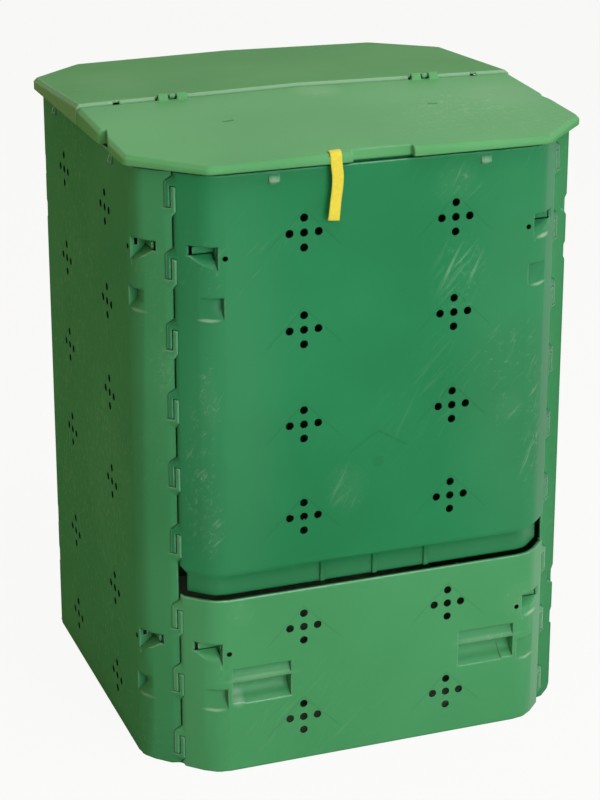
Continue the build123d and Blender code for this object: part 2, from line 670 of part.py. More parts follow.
# Hinge pins, held in the rear lid's ears
with BuildPart() as right_hinge_pin:
    with BuildSketch(Plane.YZ.offset(HINGE_X - PIN_LENGTH / 2)):
        with Locations((HINGE_Y, HINGE_Z)):
            Circle(PIN_R)
    extrude(amount=PIN_LENGTH)
right_hinge_pin.part.label = "right_hinge_pin"

with BuildPart() as left_hinge_pin:
    mirror(right_hinge_pin.part, about=Plane.YZ)
left_hinge_pin.part.label = "left_hinge_pin"


def strap_piece(points):
    """Webbing along a side-view line of (y, z) points."""
    with BuildSketch(Plane.YZ.offset(STRAP_X - STRAP_W / 2)) as side:
        with BuildLine():
            Polyline(*points)
            offset(amount=STRAP_T, side=Side.LEFT, kind=Kind.INTERSECTION)
        make_face()
    return extrude(side.sketch, amount=STRAP_W, mode=Mode.PRIVATE)


STRAP_TOP_Z = front_roof(STRAP_X, STRAP_SLOT_Y) + STRAP_LIFT
STRAP_FACE_Y = -LID_HALF - STRAP_LIFT
STRAP_BACK_Y = STRAP_SLOT_Y - STRAP_T / 2

# Strap: the part that passes through the lid, with a sewn hem below, and the part that hangs
with BuildPart() as lid_strap_root:
    over_the_rim = [
        (STRAP_FACE_Y, RIM_FOOT),
        (STRAP_FACE_Y, STRAP_TOP_Z - RIM_CHAMFER - STRAP_EASE),
        (STRAP_FACE_Y + RIM_CHAMFER, STRAP_TOP_Z - STRAP_FALL),
        (STRAP_BACK_Y - STRAP_EASE, STRAP_TOP_Z),
        (STRAP_BACK_Y, STRAP_TOP_Z - STRAP_EASE),
        (STRAP_BACK_Y, HEM_FOOT),
    ]
    add(strap_piece(over_the_rim))
    with Locations((STRAP_X, STRAP_SLOT_Y, HEM_FOOT + HEM_H / 2)):
        Box(STRAP_W, HEM_T, HEM_H)
lid_strap_root.part.label = "lid_strap_root"

with BuildPart() as lid_strap_tail:
    hang = STRAP_PIVOT_Z - STRAP_END_Z
    waves = [
        (STRAP_FACE_Y, STRAP_END_Z),
        (STRAP_FACE_Y - STRAP_BOW, STRAP_END_Z + 0.25 * hang),
        (STRAP_FACE_Y, STRAP_END_Z + 0.55 * hang),
        (STRAP_FACE_Y - STRAP_BOW / 2, STRAP_END_Z + 0.8 * hang),
        (STRAP_FACE_Y, STRAP_PIVOT_Z),
    ]
    add(strap_piece(waves))
lid_strap_tail.part.label = "lid_strap_tail"

os.makedirs("parts", exist_ok=True)
pieces = [
    left_wall,
    right_wall,
    rear_wall,
    front_upper_wall,
    front_door,
    rear_lid,
    front_lid,
    left_hinge_pin,
    right_hinge_pin,
    lid_strap_root,
    lid_strap_tail,
]
for piece in pieces:
    export_step(piece.part, f"parts/{piece.part.label}.step")
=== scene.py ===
import math

import bpy
from mathutils import Matrix, Vector


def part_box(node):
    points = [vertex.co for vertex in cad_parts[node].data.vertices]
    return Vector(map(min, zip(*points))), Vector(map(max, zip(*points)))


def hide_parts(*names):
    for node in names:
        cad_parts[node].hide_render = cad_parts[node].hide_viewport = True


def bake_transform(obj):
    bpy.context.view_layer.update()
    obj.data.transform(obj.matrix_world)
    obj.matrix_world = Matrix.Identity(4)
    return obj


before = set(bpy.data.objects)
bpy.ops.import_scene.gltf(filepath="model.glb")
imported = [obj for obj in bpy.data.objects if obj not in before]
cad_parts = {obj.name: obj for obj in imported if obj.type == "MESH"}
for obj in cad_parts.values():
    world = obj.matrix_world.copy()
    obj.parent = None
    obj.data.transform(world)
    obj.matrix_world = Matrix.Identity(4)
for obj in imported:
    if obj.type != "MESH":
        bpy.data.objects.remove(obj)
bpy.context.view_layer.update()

scene = bpy.context.scene
scene.view_settings.view_transform = "Standard"

# Sizes in metres that the materials share with the model
VENT_COLUMN = 0.1356
VENT_REACH = 0.040
UPPER_ROW, UPPER_PITCH = 0.462, 0.168
LOWER_ROW, LOWER_PITCH = 0.081, 0.174
PANEL_SPLIT = 0.35
RIB_RISE, RIB_LEG = 0.0385, 0.076
EYE_COLUMN = 0.2715
EYE_ROW, EYE_PITCH = 0.225, 0.710
EYE_RADIUS, EYE_RIM = 0.0047, 0.0105
WALL_FACE, WALL_BACK = 0.400, 0.396
GATE_APEX, GATE_DISC, GATE_SLOPE = 0.600, 0.545, 0.6

# Distances in metres at which a mark on the walls is gone and at which it is full
RIB_LINE = (0.0040, 0.0004)
RIB_END = (RIB_LEG, RIB_LEG - 0.02)
GATE_LINE = (0.0045, 0.0010)
GATE_END = (0.060, 0.040)
GATE_RING = (0.012, 0.008)
VENT_RIM = (VENT_REACH + 0.004, VENT_REACH)
EYE_FADE = 0.0006
BELOW_FACE = (WALL_FACE - 0.0003, WALL_FACE - 0.0008)
ABOVE_BACK = (WALL_BACK, WALL_BACK + 0.0006)

# Edges: rounding radius in metres, gloss, and the upward shares of the normal between which the pale edges
# set in, worn and with a painted highlight where they face up
CRISP_EDGE = 0.0016
WALL_EDGES = {"radius": 0.0055, "gloss": 1.0, "lit": (-0.30, 0.10)}
LID_EDGES = {"radius": 0.006, "gloss": 0.5, "lit": (0.15, 0.55)}
EDGE_TURN = (0.985, 0.84)
EDGE_SAMPLES = 6
OPEN_REACH, OPEN_SAMPLES = 0.008, 8

# Noises of the plastic and of the strap; the stretched ones are scratches
CLOUDS = {"scale": 2.6, "detail": 3.0}
SPECKLE = {"scale": 70.0, "detail": 6.0, "roughness": 0.8, "shift": (3.1, 1.7, 0.4)}
SPOTS = {"scale": 1.7, "detail": 2.0, "shift": (0.3, 5.2, 2.2)}
SLANT = {
    "scale": 110.0,
    "detail": 5.0,
    "roughness": 0.7,
    "stretch": (1, 1, 16),
    "turn": (0, 0.8, 0),
    "shift": (7, 2, 1),
}
STEEP = {
    "scale": 90.0,
    "detail": 5.0,
    "roughness": 0.7,
    "stretch": (1, 1, 20),
    "turn": (0, 0.45, 0),
    "shift": (1, 9, 4),
}
RUB = {"scale": 34.0, "roughness": 0.7}
GRAIN = {"scale": 800.0, "detail": 2.0}
SWELL = {"scale": 8.0, "detail": 2.0}
SOIL = {"scale": 160.0, "roughness": 0.6}

# Values of a noise or a mask at which its effect starts and at which it is full
CLOUD_SPAN = (0.30, 0.70)
SPECKLE_SPAN = (0.52, 0.72)
SPOT_SPAN = (0.42, 0.68)
SLANT_SPAN = (0.52, 0.72)
STEEP_SPAN = (0.55, 0.74)
RUB_SPAN = (0.26, 0.62)
SOIL_SPAN = (0.45, 0.75)
THREAD_SPAN = (-0.9, 0.6)
PATCH_SPAN = (1.0, 0.2)
# Openness spans for the pale edges (wear with painted highlight), for edge gloss, and for painted shade in
# hollows
WORN_AND_LIT_OPENNESS = (0.62, 0.92)
GLOSSY_OPENNESS = (0.5, 0.95)
HOLLOW_SHADE_OPENNESS = (0.66, 0.22)

# How strong each effect is in the plastic
SPECKLE_SHARE = 0.3
WEAR_SHARE = 0.20
# The edge share is wear with painted highlight; the hidden and line shares are painted shade in hollows,
# holes and rib lines
EDGE_WEAR_AND_HIGHLIGHT_SHARE = 0.42
HOLLOW_SHADE_SHARE = 0.92
LINE_SHADE_SHARE = 0.11
LINE_DEPTH = 0.7
GRAIN_HEIGHT = 0.05
CLOUD_ROUGHNESS = 0.08
EDGE_SMOOTHING = 0.16
PLASTIC_BUMP = {"strength": 0.15, "distance": 0.0016}
PLASTIC_IOR = 1.5

# The strap's weave: the pitch of its threads in metres and how much each counts
WEFT_PITCH, WEFT_SHARE = 0.0011, 0.6
WARP_PITCH, WARP_SHARE = 0.0016, 0.4
SOIL_SHARE = 0.35
WEAVE_BUMP = {"strength": 0.35, "distance": 0.0003}
WEAVE_ROUGHNESS, WEAVE_SHEEN = 0.62, 0.25

# Colours
WALL_GREEN, WALL_DEEP = (0.019, 0.233, 0.090, 1), (0.015, 0.198, 0.074, 1)
SIDE_GREEN, SIDE_DEEP = (0.066, 0.302, 0.132, 1), (0.053, 0.272, 0.114, 1)
DOOR_GREEN, DOOR_DEEP = (0.066, 0.322, 0.130, 1), (0.054, 0.290, 0.110, 1)
LID_GREEN, LID_DEEP = (0.128, 0.408, 0.168, 1), (0.105, 0.355, 0.142, 1)
REAR_LID_GREEN, REAR_LID_DEEP = (0.162, 0.410, 0.198, 1), (0.142, 0.372, 0.176, 1)
PIN_GREEN, PIN_DEEP = (0.010, 0.060, 0.022, 1), (0.007, 0.045, 0.016, 1)
# Pale colour of scratches and scuffs, and of the painted highlights
PALE_WEAR_AND_HIGHLIGHT = (0.42, 0.60, 0.45, 1)
# Pale edges: wear with a painted highlight on the edges that face up
EDGE_WEAR_AND_HIGHLIGHT = (0.22, 0.64, 0.36, 1)
# Painted shade for inner corners, slots, the holes' own walls and rib lines
PAINTED_SHADE_DARK = (0.003, 0.014, 0.006, 1)
STRAP_YELLOW, STRAP_DEEP = (0.80, 0.68, 0.026, 1), (0.72, 0.57, 0.02, 1)
STRAP_PALE = (0.90, 0.82, 0.22, 1)
FLOOR_PAINT = (0.74, 0.71, 0.64, 1)
ROOM_LIGHT = (1.0, 0.82, 0.48, 1)
WHITE = (1, 1, 1, 1)

# Sockets of the mix node for the first value, the second value and the result
MIX_SOCKETS = {"RGBA": (6, 7, 2), "VECTOR": (4, 5, 1)}

# The axis that runs along a wall's face
ALONG_X, ALONG_Y = 0, 1


def feed(tree, socket, value):
    """Links a socket to another node's output, or sets its plain value."""
    if isinstance(value, bpy.types.NodeSocket):
        tree.links.new(value, socket)
    else:
        socket.default_value = value


def math_node(tree, operation, *values):
    made = tree.nodes.new("ShaderNodeMath")
    made.operation = operation
    for socket, value in zip(made.inputs, values):
        feed(tree, socket, value)
    return made.outputs[0]


def vector_node(tree, operation, *values):
    made = tree.nodes.new("ShaderNodeVectorMath")
    made.operation = operation
    for socket, value in zip(made.inputs, values):
        feed(tree, socket, value)
    return made.outputs["Value" if operation in ("LENGTH", "DOT_PRODUCT") else "Vector"]


def product(tree, *values):
    result = values[0]
    for value in values[1:]:
        result = math_node(tree, "MULTIPLY", result, value)
    return result


def largest(tree, *values):
    result = values[0]
    for value in values[1:]:
        result = math_node(tree, "MAXIMUM", result, value)
    return result


def inverse(tree, value):
    return math_node(tree, "SUBTRACT", 1.0, value)


def hypotenuse(tree, first, second):
    squared = math_node(tree, "ADD", product(tree, first, first), product(tree, second, second))
    return math_node(tree, "SQRT", squared)


def split(tree, vector):
    """The X, Y and Z of a vector."""
    made = tree.nodes.new("ShaderNodeSeparateXYZ")
    feed(tree, made.inputs[0], vector)
    return made.outputs


def ramp(tree, value, start, end):
    """0 at start and before it, 1 at end and after it."""
    made = tree.nodes.new("ShaderNodeMapRange")
    made.interpolation_type = "SMOOTHSTEP"
    feed(tree, made.inputs["Value"], value)
    made.inputs["From Min"].default_value = start
    made.inputs["From Max"].default_value = end
    return made.outputs["Result"]


def mixed(tree, kind, share, first, second):
    """Goes from the first colour or vector to the second as the share goes from 0 to 1."""
    made = tree.nodes.new("ShaderNodeMix")
    made.data_type = kind
    first_socket, second_socket, result = MIX_SOCKETS[kind]
    feed(tree, made.inputs[0], share)
    feed(tree, made.inputs[first_socket], first)
    feed(tree, made.inputs[second_socket], second)
    return made.outputs[result]


def noise(
    tree, place, scale, detail=4.0, roughness=0.55, stretch=(1, 1, 1), turn=(0, 0, 0), shift=(0, 0, 0)
):
    """Noise that is drawn out along the turned axes by the given stretch."""
    mapped = tree.nodes.new("ShaderNodeMapping")
    mapped.vector_type = "TEXTURE"
    feed(tree, mapped.inputs["Vector"], place)
    mapped.inputs["Scale"].default_value = stretch
    mapped.inputs["Rotation"].default_value = turn
    mapped.inputs["Location"].default_value = shift
    made = tree.nodes.new("ShaderNodeTexNoise")
    feed(tree, made.inputs["Vector"], mapped.outputs["Vector"])
    made.inputs["Scale"].default_value = scale
    made.inputs["Detail"].default_value = detail
    made.inputs["Roughness"].default_value = roughness
    return made.outputs["Fac"]


def patch(tree, place, centre, reach):
    """A soft round patch: 1 in its middle, 0 beyond its reach along each axis."""
    offset = vector_node(tree, "SUBTRACT", place, centre)
    distance = vector_node(tree, "LENGTH", vector_node(tree, "DIVIDE", offset, reach))
    return ramp(tree, distance, *PATCH_SPAN)


def bumped(tree, height, strength, distance, normal=None):
    """The normal of a surface that rises and falls with the given height."""
    made = tree.nodes.new("ShaderNodeBump")
    made.inputs["Strength"].default_value = strength
    made.inputs["Distance"].default_value = distance
    feed(tree, made.inputs["Height"], height)
    if normal is not None:
        feed(tree, made.inputs["Normal"], normal)
    return made.outputs["Normal"]


def new_material(name):
    material = bpy.data.materials.new(name)
    material.use_nodes = True
    material.node_tree.nodes.clear()
    return material, material.node_tree


def show(tree, shader, output="ShaderNodeOutputMaterial"):
    feed(tree, tree.nodes.new(output).inputs["Surface"], shader)


def row_distance(tree, up, row, pitch):
    """How far a height is from the nearest of the rows that repeat at the pitch."""
    rise = math_node(tree, "SUBTRACT", up, row)
    repeat = math_node(tree, "PINGPONG", math_node(tree, "DIVIDE", rise, pitch), 0.5)
    return product(tree, repeat, pitch)


def column_distance(tree, side):
    """How far a place is from the middle of its column of vents."""
    return math_node(tree, "ABSOLUTE", math_node(tree, "SUBTRACT", side, VENT_COLUMN))


def at_rows(tree, up, mark):
    """A mark made for the upper rows of vents above the panel split, and for the lower ones below it."""
    above = math_node(tree, "GREATER_THAN", up, PANEL_SPLIT)
    upper = product(tree, mark(UPPER_ROW, UPPER_PITCH), above)
    lower = product(tree, mark(LOWER_ROW, LOWER_PITCH), inverse(tree, above))
    return largest(tree, upper, lower)


def rib_lines(tree, side, up):
    """Thin roof-shaped lines over the vents, where the ribs behind the wall draw it in."""
    from_column = column_distance(tree, side)
    slope = math_node(tree, "ADD", up, from_column)

    def line(row, pitch):
        return ramp(tree, row_distance(tree, slope, row + RIB_RISE, pitch), *RIB_LINE)

    return product(tree, at_rows(tree, up, line), ramp(tree, from_column, *RIB_END))


def vent_area(tree, side, up):
    """1 over the crosses of vents, 0 elsewhere."""

    def near_row(row, pitch):
        return ramp(tree, row_distance(tree, up, row, pitch), *VENT_RIM)

    return product(tree, ramp(tree, column_distance(tree, side), *VENT_RIM), at_rows(tree, up, near_row))


def eye_area(tree, side, up, reach):
    """1 within the reach of the small eyes beside the latch pockets, 0 elsewhere."""
    aside = math_node(tree, "SUBTRACT", side, EYE_COLUMN)
    rise = row_distance(tree, up, EYE_ROW, EYE_PITCH)
    return ramp(tree, hypotenuse(tree, aside, rise), reach + EYE_FADE, reach)


def gate_mark(tree, side, up):
    """A faint roof-shaped line with a disc below it, left by the moulding in the middle of the front."""
    slope = product(tree, side, GATE_SLOPE)
    rise = math_node(tree, "ADD", math_node(tree, "SUBTRACT", up, GATE_APEX), slope)
    line = ramp(tree, math_node(tree, "ABSOLUTE", rise), *GATE_LINE)
    drop = math_node(tree, "SUBTRACT", up, GATE_DISC)
    disc = ramp(tree, hypotenuse(tree, side, drop), *GATE_RING)
    return largest(tree, product(tree, line, ramp(tree, side, *GATE_END)), disc)


def wall_marks(tree, place, across):
    """Three masks of a wall: the lines on it, the surroundings of its holes, and the holes' own walls; the
    lines and the holes' walls get painted shade.
    """
    axes = split(tree, place)
    up = axes["Z"]
    side = math_node(tree, "ABSOLUTE", axes[across])
    depth = math_node(tree, "ABSOLUTE", axes[1 - across])
    lines = rib_lines(tree, side, up)
    if across == ALONG_X:
        lines = largest(tree, lines, gate_mark(tree, side, up))
    crosses = vent_area(tree, side, up)
    rims = largest(tree, crosses, eye_area(tree, side, up, EYE_RIM))
    holes = largest(tree, crosses, eye_area(tree, side, up, EYE_RADIUS))
    inside = product(tree, ramp(tree, depth, *BELOW_FACE), ramp(tree, depth, *ABOVE_BACK))
    return lines, rims, product(tree, inside, holes)


def rounded_normal(tree, reach):
    """The surface normal, rounded off at sharp edges."""
    rounded = tree.nodes.new("ShaderNodeBevel")
    rounded.samples = EDGE_SAMPLES
    rounded.inputs["Radius"].default_value = reach
    return rounded.outputs["Normal"]


def edge_mask(tree, rounded):
    """1 near a sharp edge, where the rounded normal leaves the true one."""
    true_normal = tree.nodes.new("ShaderNodeNewGeometry").outputs["Normal"]
    return ramp(tree, vector_node(tree, "DOT_PRODUCT", rounded, true_normal), *EDGE_TURN)


def facing_up(tree, normal, start, end):
    """0 where the upward share of the piece's own normal is below start, 1 where it is above end."""
    own = tree.nodes.new("ShaderNodeVectorTransform")
    own.vector_type = "NORMAL"
    own.convert_from = "WORLD"
    own.convert_to = "OBJECT"
    feed(tree, own.inputs[0], normal)
    return ramp(tree, split(tree, own.outputs[0])["Z"], start, end)


def openness(tree):
    """1 on open faces, half in an inner corner and near 0 deep in a slot."""
    made = tree.nodes.new("ShaderNodeAmbientOcclusion")
    made.samples = OPEN_SAMPLES
    made.only_local = True
    made.inputs["Distance"].default_value = OPEN_REACH
    return made.outputs["AO"]


def wear_and_painted_highlights(tree, place, scuffs_and_highlights):
    """How worn the plastic is, with painted highlights: thin scratches in some areas, and the given scuff
    patches, some of which are painted highlights.
    """
    speckle = ramp(tree, noise(tree, place, **SPECKLE), *SPECKLE_SPAN)
    slant = ramp(tree, noise(tree, place, **SLANT), *SLANT_SPAN)
    steep = ramp(tree, noise(tree, place, **STEEP), *STEEP_SPAN)
    streaks = largest(tree, slant, steep)
    area = ramp(tree, noise(tree, place, **SPOTS), *SPOT_SPAN)
    scratched = largest(tree, product(tree, speckle, SPECKLE_SHARE), streaks)
    wear_and_highlight = product(tree, scratched, area, WEAR_SHARE)
    for centre, reach, strength, even in scuffs_and_highlights:
        rubbed_and_highlit = largest(tree, speckle, streaks, even)
        wear_and_highlight = largest(tree, wear_and_highlight, product(tree, patch(tree, place, centre, reach), rubbed_and_highlit, strength))
    return wear_and_highlight


def moulded_plastic(name, base, shade, roughness, gloss, across=None, scuffs_and_highlights=()):
    """Satin polyethylene: a faint cloudy tone, fine grain, thin scratches, glossy worn edges that are
    paler, with a painted highlight, where they face up, and painted shade in inner corners, slots and
    holes.

    gloss is the reflection level of the flat faces. across is the axis that runs along a wall's face,
    which then shows its rib lines. Each scuff entry is the centre and reach of a pale patch, how strong
    it is and how even; some of these patches are painted highlights.
    """
    material, tree = new_material(name)
    place = tree.nodes.new("ShaderNodeTexCoord").outputs["Object"]
    edges = LID_EDGES if across is None else WALL_EDGES
    clouds = noise(tree, place, **CLOUDS)
    grain = product(tree, noise(tree, place, **GRAIN), GRAIN_HEIGHT)
    height = math_node(tree, "ADD", grain, noise(tree, place, **SWELL))

    soft = rounded_normal(tree, edges["radius"])
    facing = facing_up(tree, soft, *edges["lit"])
    exposed = openness(tree)
    painted_hollow_shade = ramp(tree, exposed, *HOLLOW_SHADE_OPENNESS)
    if across is None:
        lit = facing
        rounded = soft
        flat_gloss = product(tree, facing, gloss)
    else:
        lines, rims, shaded_hole_walls = wall_marks(tree, place, across)
        lit = product(tree, facing, inverse(tree, rims))
        rounded = mixed(tree, "VECTOR", rims, soft, rounded_normal(tree, CRISP_EDGE))
        flat_gloss = gloss
        painted_hollow_shade = largest(tree, painted_hollow_shade, shaded_hole_walls)
        height = math_node(tree, "SUBTRACT", height, product(tree, lines, LINE_DEPTH))

    # Pale edges: wear with a painted highlight, only on the edges that face up
    worn_and_lit_edge = product(tree, edge_mask(tree, soft), ramp(tree, exposed, *WORN_AND_LIT_OPENNESS), lit)
    rub = ramp(tree, noise(tree, place, **RUB), *RUB_SPAN)
    colour = mixed(tree, "RGBA", ramp(tree, clouds, *CLOUD_SPAN), shade, base)
    colour = mixed(tree, "RGBA", wear_and_painted_highlights(tree, place, scuffs_and_highlights), colour, PALE_WEAR_AND_HIGHLIGHT)
    colour = mixed(tree, "RGBA", product(tree, worn_and_lit_edge, rub, EDGE_WEAR_AND_HIGHLIGHT_SHARE), colour, EDGE_WEAR_AND_HIGHLIGHT)
    # Painted shade in inner corners, slots and the holes' own walls
    colour = mixed(tree, "RGBA", product(tree, painted_hollow_shade, HOLLOW_SHADE_SHARE), colour, PAINTED_SHADE_DARK)
    # The rib and gate lines get painted shade along their shallow dip
    if across is not None:
        colour = mixed(tree, "RGBA", product(tree, lines, LINE_SHADE_SHARE), colour, PAINTED_SHADE_DARK)

    glossy = product(tree, edge_mask(tree, rounded), ramp(tree, exposed, *GLOSSY_OPENNESS), lit)
    rough = math_node(tree, "ADD", product(tree, clouds, CLOUD_ROUGHNESS), roughness)
    rough = math_node(tree, "SUBTRACT", rough, product(tree, glossy, EDGE_SMOOTHING))
    shine = math_node(tree, "MULTIPLY_ADD", glossy, edges["gloss"], flat_gloss)
    shader = tree.nodes.new("ShaderNodeBsdfPrincipled")
    feed(tree, shader.inputs["Base Color"], colour)
    feed(tree, shader.inputs["Roughness"], rough)
    feed(tree, shader.inputs["Specular IOR Level"], shine)
    feed(tree, shader.inputs["Normal"], bumped(tree, height, normal=rounded, **PLASTIC_BUMP))
    shader.inputs["IOR"].default_value = PLASTIC_IOR
    show(tree, shader.outputs["BSDF"])
    return material


def webbing(name, base, shade, pale):
    """Woven polyester tape: ribs across, a twill along, and a paler worn face."""
    material, tree = new_material(name)
    place = tree.nodes.new("ShaderNodeTexCoord").outputs["UV"]
    axes = split(tree, place)
    over, along = axes["X"], axes["Y"]
    diagonal = math_node(tree, "ADD", over, along)
    weft = math_node(tree, "SINE", product(tree, along, math.tau / WEFT_PITCH))
    warp = math_node(tree, "SINE", product(tree, diagonal, math.tau / WARP_PITCH))
    weave = math_node(tree, "ADD", product(tree, weft, WEFT_SHARE), product(tree, warp, WARP_SHARE))
    soil = ramp(tree, noise(tree, place, **SOIL), *SOIL_SPAN)
    colour = mixed(tree, "RGBA", ramp(tree, weave, *THREAD_SPAN), shade, base)
    colour = mixed(tree, "RGBA", product(tree, soil, SOIL_SHARE), colour, pale)
    shader = tree.nodes.new("ShaderNodeBsdfPrincipled")
    feed(tree, shader.inputs["Base Color"], colour)
    feed(tree, shader.inputs["Normal"], bumped(tree, weave, **WEAVE_BUMP))
    shader.inputs["Roughness"].default_value = WEAVE_ROUGHNESS
    shader.inputs["Sheen Weight"].default_value = WEAVE_SHEEN
    show(tree, shader.outputs["BSDF"])
    return material


def mirrored(centre, reach, strength, even):
    """The same pale patch on the left and on the right, for scuff patches and painted highlights alike."""
    x, y, z = centre
    return [((side * x, y, z), reach, strength, even) for side in (-1, 1)]


# Scuff patches and painted highlights: centre and reach in metres, strength and evenness
# Reaches of the painted highlights on the lower lips of the scoops and pockets
SCOOP_LIP_HIGHLIGHT = (0.026, 0.03, 0.0045)
SIDE_SCOOP_LIP_HIGHLIGHT = (0.03, 0.026, 0.0045)
POCKET_LIP_HIGHLIGHT = (0.026, 0.03, 0.0060)
FRONT_SCUFFS_AND_HIGHLIGHTS = [
    # Painted highlights on the lower lips of the scoops and of the right pocket
    *mirrored((0.298, -0.392, 0.830), SCOOP_LIP_HIGHLIGHT, 0.75, 0.7),
    ((0.306, -0.388, 0.914), POCKET_LIP_HIGHLIGHT, 0.80, 0.8),
    ((0.290, -0.40, 0.580), (0.05, 0.06, 0.26), 0.30, 0.0),
    # Along the left bend: scuffs that also stand in for a painted sheen
    ((-0.315, -0.39, 0.560), (0.04, 0.06, 0.22), 0.30, 0.0),
    # Painted highlights on the lower faces of the catch wedges under the lid's rim
    *mirrored((0.188, -0.404, 1.060), (0.014, 0.02, 0.010), 0.60, 0.7),
    ((0.150, -0.40, 0.860), (0.07, 0.06, 0.10), 0.36, 0.0),
    ((0.235, -0.40, 0.710), (0.10, 0.06, 0.12), 0.30, 0.1),
    ((0.245, -0.40, 0.615), (0.06, 0.06, 0.06), 0.30, 0.2),
    ((0.140, -0.40, 1.025), (0.06, 0.06, 0.05), 0.32, 0.1),
    # Along the left bend: scuffs that also stand in for a painted sheen
    ((-0.300, -0.40, 0.690), (0.03, 0.05, 0.12), 0.34, 0.2),
    ((-0.300, -0.40, 0.470), (0.04, 0.05, 0.12), 0.24, 0.2),
    ((-0.055, -0.40, 0.505), (0.05, 0.06, 0.06), 0.26, 0.1),
    ((0.270, -0.40, 0.680), (0.18, 0.12, 0.60), 0.04, 1.0),
    ((-0.270, -0.40, 0.680), (0.14, 0.12, 0.60), 0.04, 1.0),
    # An even pale band over the set-back strip above the door: painted light on a face in shade
    ((0.0, -0.385, 0.347), (1.2, 0.06, 0.024), 0.05, 1.0),
]
DOOR_SCUFFS_AND_HIGHLIGHTS = [
    # Painted highlights on the lower lips of the scoops and of the right pocket
    *mirrored((0.298, -0.392, 0.120), SCOOP_LIP_HIGHLIGHT, 0.75, 0.7),
    ((0.306, -0.388, 0.204), POCKET_LIP_HIGHLIGHT, 0.80, 0.8),
    ((-0.255, -0.39, 0.137), (0.016, 0.06, 0.022), 0.75, 0.4),
    # The grip bars: wear with a painted highlight
    ((-0.215, -0.40, 0.172), (0.09, 0.06, 0.008), 0.65, 0.3),
    ((0.215, -0.40, 0.172), (0.09, 0.06, 0.008), 0.55, 0.3),
    ((-0.25, -0.40, 0.30), (0.03, 0.05, 0.03), 0.30, 0.1),
    ((0.27, -0.40, 0.24), (0.04, 0.08, 0.05), 0.30, 0.1),
]
SIDE_SCUFFS_AND_HIGHLIGHTS = [
    # Painted highlights on the lower lips of the scoops
    ((-0.392, -0.298, 0.830), SIDE_SCOOP_LIP_HIGHLIGHT, 0.50, 0.6),
    ((-0.392, -0.298, 0.120), SIDE_SCOOP_LIP_HIGHLIGHT, 0.50, 0.6),
    ((-0.36, -0.35, 0.75), (0.05, 0.05, 0.12), 0.16, 0.0),
    ((-0.34, -0.37, 0.40), (0.05, 0.05, 0.25), 0.16, 0.0),
]
LID_SCUFFS_AND_HIGHLIGHTS = [
    # The ridge line is wear with a painted highlight; the patch at its middle is a painted highlight
    ((0.0, -0.0085, 1.120), (2.0, 0.006, 0.04), 0.60, 0.6),
    ((0.02, -0.045, 1.118), (0.06, 0.06, 0.03), 0.48, 0.3),
    # Scuff streaks with a painted sheen on the right of the lid
    ((0.245, -0.20, 1.11), (0.16, 0.18, 0.04), 0.42, 0.05),
    ((0.33, -0.15, 1.11), (0.12, 0.13, 0.04), 0.34, 0.4),
    # A painted highlight at the left end of the ridge
    ((-0.35, -0.03, 1.121), (0.12, 0.06, 0.010), 0.45, 0.5),
    ((-0.30, 0.15, 1.11), (0.10, 0.20, 0.04), 0.20, 0.2),
]

# Materials
front_plastic = moulded_plastic(
    "front_plastic", WALL_GREEN, WALL_DEEP, roughness=0.30, gloss=0.11, across=ALONG_X, scuffs_and_highlights=FRONT_SCUFFS_AND_HIGHLIGHTS
)
door_plastic = moulded_plastic(
    "door_plastic", DOOR_GREEN, DOOR_DEEP, roughness=0.30, gloss=0.18, across=ALONG_X, scuffs_and_highlights=DOOR_SCUFFS_AND_HIGHLIGHTS
)
side_plastic = moulded_plastic(
    "side_plastic", SIDE_GREEN, SIDE_DEEP, roughness=0.40, gloss=0.0, across=ALONG_Y, scuffs_and_highlights=SIDE_SCUFFS_AND_HIGHLIGHTS
)
rear_plastic = moulded_plastic(
    "rear_plastic", WALL_GREEN, WALL_DEEP, roughness=0.40, gloss=0.14, across=ALONG_X
)
lid_plastic = moulded_plastic(
    "lid_plastic", LID_GREEN, LID_DEEP, roughness=0.32, gloss=0.03, scuffs_and_highlights=LID_SCUFFS_AND_HIGHLIGHTS
)
rear_lid_plastic = moulded_plastic(
    "rear_lid_plastic", REAR_LID_GREEN, REAR_LID_DEEP, roughness=0.32, gloss=0.0, scuffs_and_highlights=LID_SCUFFS_AND_HIGHLIGHTS
)
pin_plastic = moulded_plastic("pin_plastic", PIN_GREEN, PIN_DEEP, roughness=0.35, gloss=0.3)
strap_webbing = webbing("strap_webbing", STRAP_YELLOW, STRAP_DEEP, STRAP_PALE)

# Shading of the CAD nodes: angles in degrees, the weld distance in metres
SHARP_ANGLE = 50.0
BEVEL_ANGLE = 34.0
FLAT_ANGLE = 0.5
BEVEL_STEPS = 2
WELD = 0.00002


def geometry_group(name):
    """An empty group of geometry nodes, with the sockets where it starts and ends."""
    group = bpy.data.node_groups.new(name, "GeometryNodeTree")
    for way in ("INPUT", "OUTPUT"):
        group.interface.new_socket("Geometry", in_out=way, socket_type="NodeSocketGeometry")
    start = group.nodes.new("NodeGroupInput").outputs[0]
    end = group.nodes.new("NodeGroupOutput").inputs[0]
    return group, start, end


def joined_facets():
    """Geometry nodes that weld the facets of a CAD solid and drop their flat normals."""
    group, start, end = geometry_group("joined_facets")
    plain = group.nodes.new("GeometryNodeRemoveAttribute")
    plain.inputs["Name"].default_value = "custom_normal"
    feed(group, plain.inputs["Geometry"], start)
    weld = group.nodes.new("GeometryNodeMergeByDistance")
    weld.inputs["Distance"].default_value = WELD
    feed(group, weld.inputs["Geometry"], plain.outputs["Geometry"])
    feed(group, end, weld.outputs["Geometry"])
    return group


